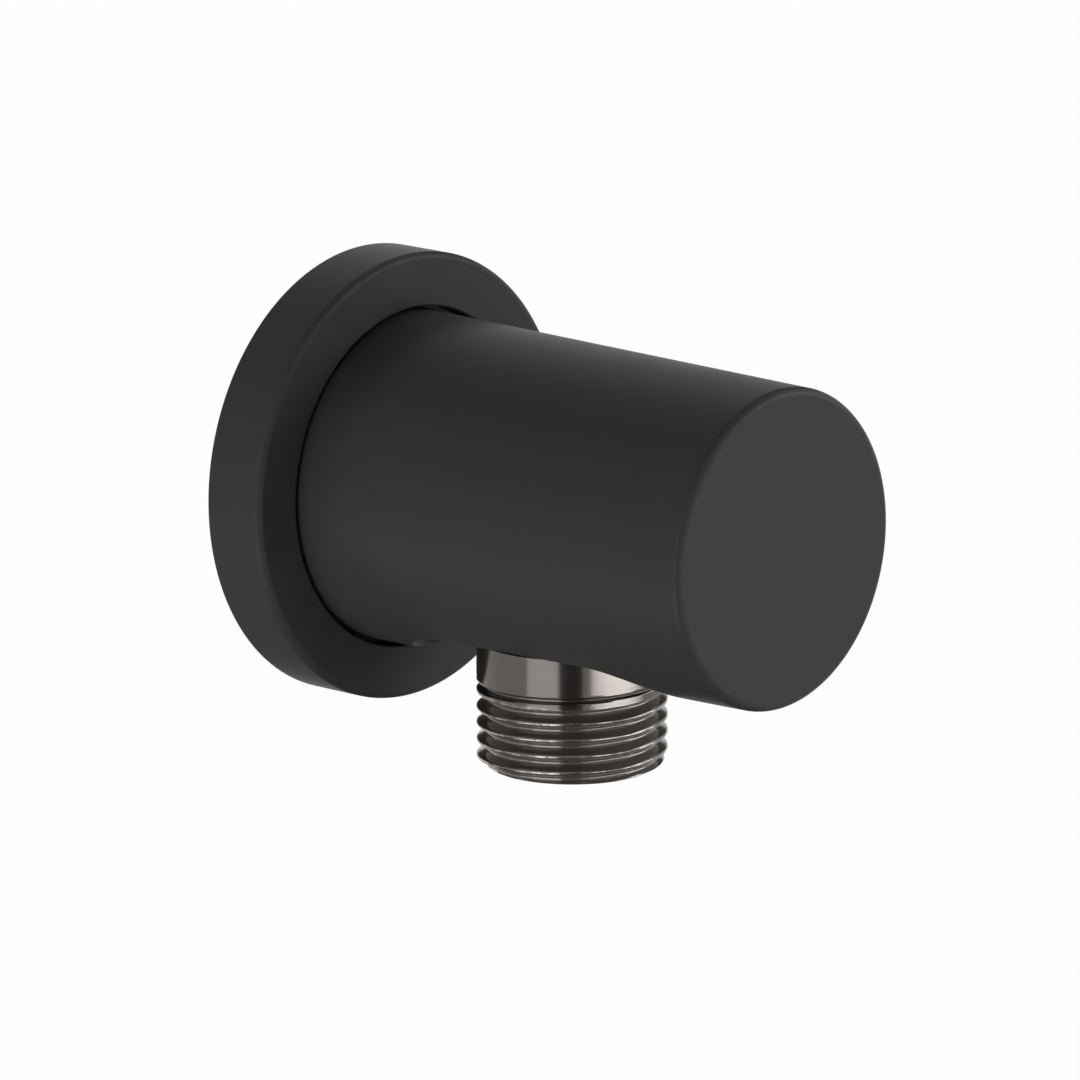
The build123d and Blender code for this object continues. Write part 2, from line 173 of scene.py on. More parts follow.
class Graph:
    """A material's or the world's node tree, emptied, with short ways to add nodes."""

    MIX_FIRST, MIX_SECOND, MIX_RESULT = 6, 7, 2

    def __init__(self, tree: bpy.types.NodeTree) -> None:
        """Empties the tree."""
        self.tree = tree
        self.tree.nodes.clear()

    def node(
        self,
        kind: str,
        settings: dict[str, Any],
        inputs: Iterable[Any] | dict[Any, Any],
        output: int | str = 0,
    ) -> Signal:
        """Adds a node.

        Args:
            kind: the node's type.
            settings: its properties.
            inputs: values or signals for its sockets, in order or by name.
            output: which output to give back.

        Returns:
            The chosen output.
        """
        made = self.tree.nodes.new(kind)
        for name, value in settings.items():
            setattr(made, name, value)
        pairs = inputs.items() if isinstance(inputs, dict) else enumerate(inputs)
        for key, value in pairs:
            self.feed(made.inputs[key], value)
        return Signal(self, made.outputs[output] if made.outputs else None)

    def feed(self, socket: bpy.types.NodeSocket, value: Any) -> None:
        """Links a signal to a socket, or sets a plain value on it.

        Args:
            socket: the socket.
            value: the signal or the plain value.
        """
        if isinstance(value, Signal):
            self.tree.links.new(value.socket, socket)
        else:
            socket.default_value = value

    def place(self, scale: tuple[float, float, float], centre: Vector = Vector()) -> Signal:
        """Gives the object's own coordinates, about a centre and scaled along each axis.

        Args:
            scale: the scale along each axis.
            centre: the centre.

        Returns:
            The coordinates.
        """
        source = self.node("ShaderNodeTexCoord", {}, [], "Object")
        offset = [-c * s for c, s in zip(centre, scale)]
        sockets = {"Vector": source, "Location": offset, "Scale": scale}
        return self.node("ShaderNodeMapping", {}, sockets)

    def noise(self, where: Signal, detail: float, roughness: float = 0.5) -> Signal:
        """Gives noise from 0 to 1 at the given place.

        Args:
            where: the place.
            detail: how many finer layers it has.
            roughness: how strong they are.

        Returns:
            The noise.
        """
        sockets = {"Vector": where, "Scale": 1.0, "Detail": detail, "Roughness": roughness}
        return self.node("ShaderNodeTexNoise", {}, sockets, "Fac")

    def blend(self, factor: Any, first: Any, second: Any) -> Signal:
        """Mixes two colours.

        Args:
            factor: share of the second colour.
            first: the first colour.
            second: the second colour.

        Returns:
            The mixed colour.
        """
        sockets = {0: factor, self.MIX_FIRST: first, self.MIX_SECOND: second}
        return self.node("ShaderNodeMix", {"data_type": "RGBA"}, sockets, self.MIX_RESULT)

    def length(self, vector: Signal) -> Signal:
        """Gives a vector's length."""
        return self.node("ShaderNodeVectorMath", {"operation": "LENGTH"}, [vector], "Value")

    def between(self, value: Signal, low: float, high: float) -> Signal:
        """Gives how far a value is from one end to the other, from 0 to 1."""
        sockets = {"Value": value, "From Min": low, "From Max": high}
        return self.node("ShaderNodeMapRange", {}, sockets)

    def bump(self, height: Signal, strength: float, distance: float) -> Signal:
        """Turns a height into a bumped normal."""
        sockets = {"Height": height, "Strength": strength, "Distance": distance}
        return self.node("ShaderNodeBump", {}, sockets)

    def sees(self, *rays: Ray) -> Signal:
        """Gives 1 for the named kinds of ray and 0 for the others.

        Args:
            rays: the kinds of ray.

        Returns:
            The value.
        """
        found = [self.node("ShaderNodeLightPath", {}, [], ray.value) for ray in rays]
        return reduce(Signal.highest, found)

    def surface(self, shader: Signal) -> None:
        """Links a shader to a material's output."""
        self.node("ShaderNodeOutputMaterial", {}, {"Surface": shader})


def rgba(colour: tuple[float, float, float]) -> tuple[float, float, float, float]:
    """Gives a colour with full opacity."""
    return (*colour, 1.0)


@dataclass(frozen=True)
class Finish:
    """A finish, which makes its material once and dresses pieces with it.

    Args:
        name: the material's name.
        slot: the record's material slot, not used.
        colour: its colour.
        roughness: its mean roughness.
    """

    name: str
    slot: str
    colour: tuple[float, float, float]
    roughness: float

    def material(self) -> bpy.types.Material:
        """Gives the material, made at its first use.

        Returns:
            The material.
        """
        known = bpy.data.materials.get(self.name)
        if known:
            return known
        made = bpy.data.materials.new(self.name)
        made.use_nodes = True
        graph = Graph(made.node_tree)
        graph.surface(self.shader(graph))
        return made

    def shader(self, graph: Graph) -> Signal:
        """Builds the surface shader."""
        raise NotImplementedError

    def tone(self, share: float, brightest: float = 1.0) -> tuple[float, float, float, float]:
        """Gives the colour lightened or darkened by a factor, up to a brightest value."""
        return rgba(tuple(min(brightest, c * share) for c in self.colour))

    def principled(
        self, graph: Graph, constants: dict[str, Any], varying: dict[str, Any]
    ) -> Signal:
        """Adds the surface node.

        Args:
            graph: the material's tree.
            constants: plain values of its sockets.
            varying: signals of its sockets.

        Returns:
            The surface shader.
        """
        return graph.node("ShaderNodeBsdfPrincipled", {}, {**constants, **varying})

    def dress(self, piece: bpy.types.Object) -> None:
        """Gives a piece this finish.

        Args:
            piece: the piece.
        """
        piece.data.materials.clear()
        piece.data.materials.append(self.material())


@dataclass(frozen=True)
class PowderCoat(Finish):
    """Matt black paint, very slightly grained.

    Args:
        grain: size of the grain in metres.
        specular: strength of the surface's reflection.
    """

    grain: float = 0.12 * MM
    specular: float = 0.07

    # Scales are per metre, and the gloss and tone are the shares that the noise moves them by.
    GRAIN_DETAIL = 2.0
    GRAIN_STRENGTH = 0.12
    GRAIN_DEPTH = 0.02 * MM
    GRAIN_GLOSS = 0.05
    CLOUD_SCALE = 90.0
    CLOUD_DETAIL = 3.0
    CLOUD_GLOSS = 0.04
    CLOUD_TONE = 0.07

    def shader(self, graph: Graph) -> Signal:
        """Builds the paint.

        Args:
            graph: the material's tree.

        Returns:
            The surface shader.
        """
        fine = graph.noise(graph.place((1 / self.grain,) * 3), self.GRAIN_DETAIL)
        broad = graph.noise(graph.place((self.CLOUD_SCALE,) * 3), self.CLOUD_DETAIL)
        gloss = self.GRAIN_GLOSS * (fine - 0.5) + self.CLOUD_GLOSS * (broad - 0.5)
        darker, lighter = self.tone(1 - self.CLOUD_TONE), self.tone(1 + self.CLOUD_TONE)
        return self.principled(
            graph,
            {"Metallic": 0.0, "Specular IOR Level": self.specular},
            {
                "Base Color": graph.blend(broad, darker, lighter),
                "Roughness": self.roughness + gloss,
                "Normal": graph.bump(fine, self.GRAIN_STRENGTH, self.GRAIN_DEPTH),
            },
        )


@dataclass(frozen=True)
class PlatedMetal(Finish):
    """Plated or bare metal, with fine turning marks around an axis.

    Args:
        axis: which coordinate runs along the turned piece, 1 for y and 2 for z.
        mark: spacing of the turning marks in metres.
        mark_depth: their depth in metres.
        tarnish: how much the colour varies.
        metallic: share of bare metal in the surface.
        crest: radius of the thread's crests, which get a painted highlight, or 0 for a piece without
            one.
        centre: a point on the thread's axis.
        plain: how far from the origin, along the axis, the thread begins.
    """

    axis: int = 2
    mark: float = 0.09 * MM
    mark_depth: float = 0.004 * MM
    tarnish: float = 0.2
    metallic: float = 1.0
    crest: float = 0.0
    centre: Vector = Vector()
    plain: float = 0.0

    # Scales are per metre, the gains are factors on the colour, the fade is in millimetres.
    STREAK_SCALE = 40.0
    MARK_DETAIL = 2.0
    MARK_ROUGHNESS = 0.6
    MARK_STRENGTH = 0.35
    MARK_GLOSS = 0.08
    CLOUD_SCALE = 420.0
    CLOUD_DETAIL = 4.0
    CLOUD_SHARE = 0.6
    CLOUD_GLOSS = 0.04
    BRIGHTEST = 0.95
    # Painted highlight: a band at the crests' radius gets a lighter colour, broken into patches by
    # noise.
    CREST_HIGHLIGHT_BAND = 0.05 * MM
    CREST_HIGHLIGHT_GAIN = 3.4
    # Painted light: the thread's flanks get a lighter, less metallic colour.
    FLANK_LIGHT_GAIN = 1.5
    FLANK_LIGHT_DULLING = 0.3
    THREAD_FADE = 0.5
    # Noise that breaks the painted crest highlight into patches.
    HIGHLIGHT_BREAK_SCALE = 700.0
    HIGHLIGHT_BREAK_DETAIL = 3.0
    HIGHLIGHT_BREAK_ROUGHNESS = 0.6
    NICK_LOW, NICK_HIGH = 0.42, 0.6

    def shader(self, graph: Graph) -> Signal:
        """Builds the metal.

        Args:
            graph: the material's tree.

        Returns:
            The surface shader.
        """
        along = [self.STREAK_SCALE] * 3
        along[self.axis] = 1 / self.mark
        marks = graph.noise(graph.place(tuple(along)), self.MARK_DETAIL, self.MARK_ROUGHNESS)
        broad = graph.noise(graph.place((self.CLOUD_SCALE,) * 3), self.CLOUD_DETAIL)
        cloudy = self.CLOUD_SHARE * broad + (1 - self.CLOUD_SHARE) * marks
        gloss = self.MARK_GLOSS * (marks - 0.5) + self.CLOUD_GLOSS * (broad - 0.5)
        darker, lighter = self.tone(1 - self.tarnish), self.tone(1 + self.tarnish)
        plating = graph.blend(cloudy, darker, lighter)
        metallic: Any = self.metallic
        if self.crest:
            # Painted light on a thread: lighter, less metallic flanks and a painted highlight along
            # the crests.
            flank, crest_highlight_mask = self.threaded(graph)
            flank_light = self.tone(self.FLANK_LIGHT_GAIN, self.BRIGHTEST)
            crest_highlight = self.tone(self.CREST_HIGHLIGHT_GAIN, self.BRIGHTEST)
            plating = graph.blend(crest_highlight_mask, graph.blend(flank, plating, flank_light), crest_highlight)
            metallic = self.metallic * (1.0 - self.FLANK_LIGHT_DULLING * flank)
        return self.principled(
            graph,
            {},
            {
                "Base Color": plating,
                "Metallic": metallic,
                "Roughness": self.roughness + gloss,
                "Normal": graph.bump(marks, self.MARK_STRENGTH, self.mark_depth),
            },
        )

    def threaded(self, graph: Graph) -> tuple[Signal, Signal]:
        """Gives where the thread's flanks lie and where its crests get a painted highlight.

        Args:
            graph: the material's tree.

        Returns:
            The flanks, which get painted light, and the lengths of the crests that get the painted
            highlight, each from 0 to 1.
        """
        across = [1 / MM] * 3
        across[self.axis] = 0.0
        along = [1 / MM if scale == 0.0 else 0.0 for scale in across]
        radius = graph.length(graph.place(tuple(across), self.centre))
        depth = graph.length(graph.place(tuple(along)))
        on_crest = graph.between(radius, (self.crest - self.CREST_HIGHLIGHT_BAND) / MM, self.crest / MM)
        on_thread = graph.between(depth, self.plain / MM, self.plain / MM + self.THREAD_FADE)
        where = graph.place((self.HIGHLIGHT_BREAK_SCALE,) * 3)
        patches = graph.noise(where, self.HIGHLIGHT_BREAK_DETAIL, self.HIGHLIGHT_BREAK_ROUGHNESS)
        highlight_breaks = graph.between(patches, self.NICK_LOW, self.NICK_HIGH)
        return on_thread * (1.0 - on_crest), on_crest * on_thread * highlight_breaks


@dataclass(frozen=True)
class Moulding(Finish):
    """Moulded rubber, foam or plastic.

    Args:
        grain: size of the surface's grain in metres.
        relief: depth of the grain in metres.
        contrast: how much the colour varies.
        specular: strength of the surface's reflection.
    """

    grain: float = 0.3 * MM
    relief: float = 0.01 * MM
    contrast: float = 0.08
    specular: float = 0.5

    GRAIN_DETAIL = 3.0
    GRAIN_STRENGTH = 0.3
    GRAIN_GLOSS = 0.1

    def shader(self, graph: Graph) -> Signal:
        """Builds the moulded surface.

        Args:
            graph: the material's tree.

        Returns:
            The surface shader.
        """
        fine = graph.noise(graph.place((1 / self.grain,) * 3), self.GRAIN_DETAIL)
        darker, lighter = self.tone(1 - self.contrast), self.tone(1 + self.contrast)
        return self.principled(
            graph,
            {"Metallic": 0.0, "Specular IOR Level": self.specular},
            {
                "Base Color": graph.blend(fine, darker, lighter),
                "Roughness": self.roughness + self.GRAIN_GLOSS * (fine - 0.5),
                "Normal": graph.bump(fine, self.GRAIN_STRENGTH, self.relief),
            },
        )


BLACK_PAINT = PowderCoat("matt_black_paint", "black_paint", (0.0425, 0.0425, 0.0417), 0.42)
# The crest and plain arguments place each thread's painted light: lighter flanks and a painted crest
# highlight.
DARK_NICKEL = PlatedMetal(
    "dark_nickel_plating",
    "dark_nickel",
    (0.104, 0.095, 0.088),
    0.15,
    metallic=0.82,
    crest=mount_radius("hose_outlet"),
    centre=middle("outlet_nipple"),
    plain=19.8 * MM,
)
BRASS = PlatedMetal(
    "machined_brass", "brass", (0.62, 0.44, 0.2), 0.28, axis=1, crest=mount_radius("wall_inlet")
)
STEEL = PlatedMetal("plain_steel", "steel", (0.52, 0.52, 0.53), 0.26)
RUBBER = Moulding("black_rubber", "rubber", (0.03, 0.03, 0.031), 0.62, specular=0.2)
# Painted light: this rubber is made light grey to stand in for light that doesn't reach the seated
# ring in the gap round the body.
RUBBER_PAINTED_LIGHT = Moulding("rubber_painted_light", "rubber", (0.14, 0.14, 0.136), 0.62, specular=0.2)
FOAM = Moulding(
    "closed_foam",
    "foam",
    (0.045, 0.046, 0.05),
    0.85,
    grain=0.5 * MM,
    relief=0.08 * MM,
    contrast=0.3,
)
PALE_PLASTIC = Moulding("pale_acetal", "pale_plastic", (0.72, 0.72, 0.69), 0.38)
BLUE_PLASTIC = Moulding("blue_acetal", "blue_plastic", (0.06, 0.16, 0.42), 0.36)


@dataclass(frozen=True)
class PipeThread:
    """The rounded profile of a parallel pipe thread.

    Args:
        crest: radius at the crests.
        pitch: distance from one crest to the next.
    """

    crest: float
    pitch: float = 1.814 * MM

    FLANK = math.radians(27.5)
    DEPTH_SHARE = 0.640327
    ROUND_SHARE = 0.137329

    @property
    def root(self) -> float:
        """Radius at the roots."""
        return self.crest - self.DEPTH_SHARE * self.pitch

    def radius(self, away: float) -> float:
        """Gives the radius at a distance along the axis from the nearest crest.

        Args:
            away: the distance, from 0 to half a pitch.

        Returns:
            The radius there.
        """
        rounding = self.ROUND_SHARE * self.pitch
        reach = rounding * math.cos(self.FLANK)
        if away <= reach:
            return self.crest - rounding + math.sqrt(rounding**2 - away**2)
        to_root = self.pitch / 2 - away
        if to_root <= reach:
            return self.root + rounding - math.sqrt(max(rounding**2 - to_root**2, 0.0))
        drop = rounding * (1 - math.sin(self.FLANK)) + (away - reach) / math.tan(self.FLANK)
        return self.crest - drop

    def stations(self, bow_steps: int, flank_steps: int) -> list[float]:
        """Gives the places along one pitch where the outline needs a point.

        Args:
            bow_steps: how many steps each half of a rounding has.
            flank_steps: how many steps each flank has.

        Returns:
            The distances from one crest.
        """
        reach = self.ROUND_SHARE * self.pitch * math.cos(self.FLANK)
        half = [reach * i / bow_steps for i in range(bow_steps)]
        straight = self.pitch / 2 - 2 * reach
        half += [reach + straight * i / flank_steps for i in range(flank_steps)]
        half += [self.pitch / 2 - reach + reach * i / bow_steps for i in range(bow_steps)]
        return half + [self.pitch - s for s in reversed(half[1:])] + [self.pitch / 2]


class Mesh:
    """A mesh under construction about one axis, made with the mesh operators."""

    WELD = 0.001 * MM
    CUT_REACH = 0.0005 * MM
    RIM_REACH = 0.002 * MM
    HEXAGON_SIDES = 6

    def __init__(self, axis_point: Vector, axis: Vector) -> None:
        """Starts an empty mesh.

        Args:
            axis_point: a point on the piece's axis.
            axis: the axis, a unit vector.
        """
        self.bm = bmesh.new()
        self.point = axis_point
        self.axis = axis
        self.side = Vector((1.0, 0.0, 0.0))

    def at(self, radius: float, along: float) -> Vector:
        """Gives the point at a radius and a distance along the axis, where spins start."""
        return self.point + self.side * radius + self.axis * along

    def radial(self, place: Vector) -> tuple[float, float, Vector]:
        """Gives where a point lies about the axis.

        Args:
            place: the point.

        Returns:
            Its radius, its distance along the axis and its outward direction.
        """
        offset = place - self.point
        along = offset.dot(self.axis)
        out = offset - self.axis * along
        return out.length, along, out.normalized()

    def chain(self, outline: Iterable[tuple[float, float]]) -> list[Any]:
        """Adds a line of points, each a radius and a distance along the axis.

        Args:
            outline: the points in order.

        Returns:
            The new vertices and edges.
        """
        verts = [self.bm.verts.new(self.at(radius, along)) for radius, along in outline]
        edges = [self.bm.edges.new(pair) for pair in zip(verts, verts[1:])]
        return verts + edges

    def turn(self, geometry: list[Any], steps: int, advance: float = 0.0) -> None:
        """Spins a line right round the axis.

        Args:
            geometry: the vertices and edges of the line.
            steps: how many steps make the turn.
            advance: how far one turn moves along the axis, for a thread.
        """
        bmesh.ops.spin(
            self.bm,
            geom=geometry,
            cent=self.point,
            axis=self.axis,
            dvec=self.axis * (advance / steps),
            angle=math.tau,
            steps=steps,
            use_merge=advance == 0.0,
        )

    def weld(self) -> None:
        """Merges points that lie together."""
        bmesh.ops.remove_doubles(self.bm, verts=self.bm.verts, dist=self.WELD)
        bmesh.ops.dissolve_degenerate(self.bm, edges=self.bm.edges, dist=self.WELD / 2)

    def cut(self, along: float, keep_above: bool) -> None:
        """Cuts the mesh square to its axis and keeps one side.

        Args:
            along: distance along the axis of the cut.
            keep_above: whether the part beyond the cut is kept.
        """
        bmesh.ops.bisect_plane(
            self.bm,
            geom=[*self.bm.verts, *self.bm.edges, *self.bm.faces],
            dist=self.CUT_REACH,
            plane_co=self.at(0.0, along),
            plane_no=self.axis,
            clear_inner=keep_above,
            clear_outer=not keep_above,
        )

    def rims(self, along: float) -> list[bmesh.types.BMEdge]:
        """Gives the open edges at a distance along the axis.

        Args:
            along: the distance.

        Returns:
            The edges.
        """
        borders = [edge for edge in self.bm.edges if edge.is_boundary]
        return [
            edge
            for edge in borders
            if all(abs(self.radial(vert.co)[1] - along) < self.RIM_REACH for vert in edge.verts)
        ]

    def hexagon(self, flats: float, mouth: float, end: float, steps: int) -> None:
        """Adds the walls of a hexagon socket, open at both ends.

        Args:
            flats: width across its flats.
            mouth: distance along the axis of its mouth.
            end: distance along the axis of its inner end.
            steps: how many edges each rim has.
        """
        sides = self.HEXAGON_SIDES
        corner = flats / 2 / math.cos(math.pi / sides)
        turned = self.axis.to_track_quat("Z", "Y").to_matrix().to_4x4()
        place = Matrix.Translation(self.at(0.0, mouth)) @ turned
        before = set(self.bm.edges)
        bmesh.ops.create_circle(
            self.bm, cap_ends=False, segments=sides, radius=corner, matrix=place
        )
        walls = [edge for edge in self.bm.edges if edge not in before]
        bmesh.ops.subdivide_edges(self.bm, edges=walls, cuts=steps // sides - 1)
        mouth_rim = [edge for edge in self.bm.edges if edge.is_wire]
        raised = bmesh.ops.extrude_edge_only(self.bm, edges=mouth_rim)["geom"]
        moved = [item for item in raised if isinstance(item, bmesh.types.BMVert)]
        bmesh.ops.translate(self.bm, verts=moved, vec=self.axis * (end - mouth))

    def face(self, along: float) -> None:
        """Closes the flat ring between two open rims that lie at one distance along the axis.

        Args:
            along: the distance.
        """
        bmesh.ops.triangle_fill(
            self.bm, edges=self.rims(along), use_beauty=True, normal=self.axis
        )

    def close(self) -> None:
        """Turns every face outwards."""
        bmesh.ops.recalc_face_normals(self.bm, faces=self.bm.faces)

    def finish(self, name: str, body: str, smooth_below: float = 38.0) -> bpy.types.Object:
        """Makes the object and lets it ride on a body.

        Args:
            name: the piece's name.
            body: the body that it rides on.
            smooth_below: edges that turn by less than this many degrees are smooth.

        Returns:
            The object.
        """
        limit = math.radians(smooth_below)
        for face in self.bm.faces:
            face.smooth = True
        for edge in self.bm.edges:
            edge.smooth = len(edge.link_faces) == 2 and edge.calc_face_angle(0.0) < limit
        data = bpy.data.meshes.new(name)
        self.bm.to_mesh(data)
        self.bm.free()
        piece = bpy.data.objects.new(name, data)
        bpy.context.scene.collection.objects.link(piece)
        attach(piece, body)
        return piece


@dataclass
class ThreadedEnd:
    """A threaded length with a helical thread, made to fit a CAD nipple.

    Args:
        thread: the thread's profile.
        start: distance along the axis where the thread begins.
        end: distance along the axis where the piece ends.
        phase: distance along the axis of a crest, on the side where spins start.
        lift: how far the thread is raised at a distance along the axis, where it runs out.
        blank: radius of the blank at a distance along the axis, which no crest passes.
        steps: how many steps make one turn.
    """

    thread: PipeThread
    start: float
    end: float
    phase: float
    lift: Callable[[float], float]
    blank: Callable[[float], float]
    steps: int = TURN_STEPS

    BOW_STEPS, FLANK_STEPS = 4, 5

    def build(self, mesh: Mesh) -> None:
        """Adds the helical surface to a mesh, cut square at both ends.

        Args:
            mesh: the mesh.
        """
        pitch = self.thread.pitch
        first = int((self.start - self.phase) // pitch) - 1
        last = int((self.end - self.phase) // pitch) + 1
        stations = sorted(self.thread.stations(self.BOW_STEPS, self.FLANK_STEPS))
        outline = []
        for turn in range(first, last + 1):
            for station in stations:
                away = min(station, pitch - station)
                outline.append((self.thread.radius(away), self.phase + turn * pitch + station))
        mesh.turn(mesh.chain(outline), self.steps, advance=pitch)
        mesh.weld()
        mesh.cut(self.start, keep_above=True)
        mesh.cut(self.end, keep_above=False)
        for vert in mesh.bm.verts:
            radius, along, out = mesh.radial(vert.co)
            limited = min(radius + self.lift(along), self.blank(along))
            vert.co = mesh.at(0.0, along) + out * limited
        mesh.weld()


def ramp(value: float, low: float, high: float) -> float:
    """Gives how far a value is from one end to the other, from 0 to 1."""
    return min(1.0, max(0.0, (value - low) / (high - low)))


@dataclass
class HoseNipple:
    """The hose nipple: shank in the body, plain neck, helical thread and hexagon socket.

    Sizes are in metres and stand for the CAD piece outlet_nipple. Distances run down.
    """

    shank: float = 8.95 * MM
    groove: float = 7.89 * MM
    groove_top: float = 8.8 * MM
    groove_bottom: float = 10.3 * MM
    collar: float = 13.4 * MM
    relief_end: float = 14.4 * MM
    relief_depth: float = 0.45 * MM
    neck_end: float = 18.4 * MM
    thread_full: float = 20.3 * MM
    chamfer_length: float = 0.75 * MM
    chamfer_depth: float = 1.27 * MM
    bore: float = 6.6 * MM
    hexagon: float = 11.0 * MM
    hexagon_depth: float = 5.65 * MM
    edge: float = 0.12 * MM
    crest_phase: float = 20.96 * MM
    steps: int = TURN_STEPS

    thread: PipeThread = field(init=False)
    reach: float = field(init=False)
    top: float = field(init=False)
    bottom: float = field(init=False)

    def __post_init__(self) -> None:
        """Reads the thread's size from the record, the place and ends from the CAD piece."""
        self.thread = PipeThread(mount_radius("hose_outlet"))
        self.reach = -middle("outlet_nipple").y
        low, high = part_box("outlet_nipple")
        self.top, self.bottom = -high[2], -low[2]

    def lift(self, along: float) -> float:
        """Gives how far the thread is raised where it runs out at the neck."""
        depth = self.thread.crest - self.thread.root
        return depth * (1 - ramp(along, self.neck_end, self.thread_full))

    def blank(self, along: float) -> float:
        """Gives the radius of the blank that the thread is cut on.

        Args:
            along: distance down the axis.

        Returns:
            The radius.
        """
        chamfer = ramp(along, self.bottom - self.chamfer_length, self.bottom)
        into_edge = 1.0 - ramp(along, self.relief_end, self.relief_end + self.edge)
        edge = self.edge * (1.0 - math.sqrt(1.0 - into_edge**2))
        return self.thread.crest - self.chamfer_depth * chamfer - edge

    def build(self) -> bpy.types.Object:
        """Makes the nipple in place of the CAD one.

        Returns:
            The piece.
        """
        mesh = Mesh(Vector((0.0, -self.reach, 0.0)), -UP)
        ThreadedEnd(
            self.thread,
            self.relief_end,
            self.bottom,
            self.crest_phase,
            self.lift,
            self.blank,
            self.steps,
        ).build(mesh)
        waist = self.thread.crest - self.relief_depth
        hexagon_start = self.bottom - self.hexagon_depth
        lip = self.edge
        outline = [
            (self.bore, hexagon_start),
            (self.bore, self.top),
            (self.shank - lip, self.top),
            (self.shank, self.top + lip),
            (self.shank, self.groove_top),
            (self.groove, self.groove_top),
            (self.groove, self.groove_bottom),
            (self.shank, self.groove_bottom),
            (self.shank, self.collar),
            (waist, self.collar),
            (waist, self.relief_end),
        ]
        mesh.turn(mesh.chain(outline), self.steps)
        mesh.weld()
        mesh.hexagon(self.hexagon, self.bottom, hexagon_start, self.steps)
        for place in (self.relief_end, hexagon_start, self.bottom):
            mesh.face(place)
        mesh.close()
        piece = mesh.finish("hose_nipple", FIXED_BODY)
        DARK_NICKEL.dress(piece)
        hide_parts("outlet_nipple")
        return piece


@dataclass
class InletNipple:
    """The nipple in the wall: helical pipe thread, relief, spigot with its grooves, and bore.

    Sizes are in metres and stand for the CAD piece wall_nipple. Distances run into the wall.
    """

    relief_start: float = -1.0 * MM
    relief_width: float = 0.8 * MM
    relief: float = 8.95 * MM
    spigot: float = 9.4 * MM
    groove: float = 7.64 * MM
    groove_centres: tuple[float, float] = (-5.2 * MM, -9.6 * MM)
    groove_half: float = 1.1 * MM
    screw_centre: float = -15.2 * MM
    screw_floor: float = 8.0 * MM
    screw_flat: float = 1.2 * MM
    screw_half: float = 2.5 * MM
    chamfer: float = 0.7 * MM
    bore: float = 5.0 * MM
    seat: float = 6.6 * MM
    seat_depth: float = 3.0 * MM
    hexagon: float = 10.02 * MM
    hexagon_depth: float = 10.0 * MM
    end_chamfer: float = 0.7 * MM
    end_drop: float = 1.2 * MM
    steps: int = TURN_STEPS

    thread: PipeThread = field(init=False)
    front: float = field(init=False)
    back: float = field(init=False)

    def __post_init__(self) -> None:
        """Reads the thread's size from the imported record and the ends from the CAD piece's box."""
        self.thread = PipeThread(mount_radius("wall_inlet"))
        low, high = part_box("wall_nipple")
        self.front, self.back = low[1], high[1]

    def lift(self, along: float) -> float:
        """Gives how far the thread is raised, which is nothing."""
        return 0.0

    def blank(self, along: float) -> float:
        """Gives the radius of the blank that the thread is cut on.

        Args:
            along: distance into the wall.

        Returns:
            The radius.
        """
        ends = ramp(along, self.back - self.end_chamfer, self.back)
        ends = max(ends, ramp(-along, -self.relief_start - self.end_chamfer, -self.relief_start))
        return self.thread.crest - self.end_drop * ends

    def spigot_outline(self) -> list[tuple[float, float]]:
        """Gives the outline from the relief to the front end.

        Returns:
            The points, each a radius and a distance along the axis.
        """
        start = self.relief_start - self.relief_width
        outline = [(self.relief, self.relief_start), (self.relief, start), (self.spigot, start)]
        for centre in self.groove_centres:
            outline += [
                (self.spigot, centre + self.groove_half),
                (self.groove, centre + self.groove_half),
                (self.groove, centre - self.groove_half),
                (self.spigot, centre - self.groove_half),
            ]
        return outline + [
            (self.spigot, self.screw_centre + self.screw_half),
            (self.screw_floor, self.screw_centre + self.screw_flat),
            (self.screw_floor, self.screw_centre - self.screw_flat),
            (self.spigot, self.screw_centre - self.screw_half),
            (self.spigot, self.front + self.chamfer),
            (self.spigot - self.chamfer, self.front),
        ]

    def build(self) -> bpy.types.Object:
        """Makes the nipple in place of the CAD one.

        Returns:
            The piece.
        """
        mesh = Mesh(Vector(), Vector((0.0, 1.0, 0.0)))
        ThreadedEnd(
            self.thread, self.relief_start, self.back, 0.0, self.lift, self.blank, self.steps
        ).build(mesh)
        hexagon_end = self.front + self.hexagon_depth
        bore = [
            (self.bore, hexagon_end),
            (self.bore, self.back - self.seat_depth),
            (self.seat, self.back - self.seat_depth),
            (self.seat, self.back),
        ]
        mesh.turn(mesh.chain(bore), self.steps)
        mesh.turn(mesh.chain(self.spigot_outline()), self.steps)
        mesh.weld()
        mesh.hexagon(self.hexagon, self.front, hexagon_end, self.steps)
        for place in (self.relief_start, self.back, hexagon_end, self.front):
            mesh.face(place)
        mesh.close()
        piece = mesh.finish("inlet_nipple", FIXED_BODY)
        BRASS.dress(piece)
        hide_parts("wall_nipple")
        return piece


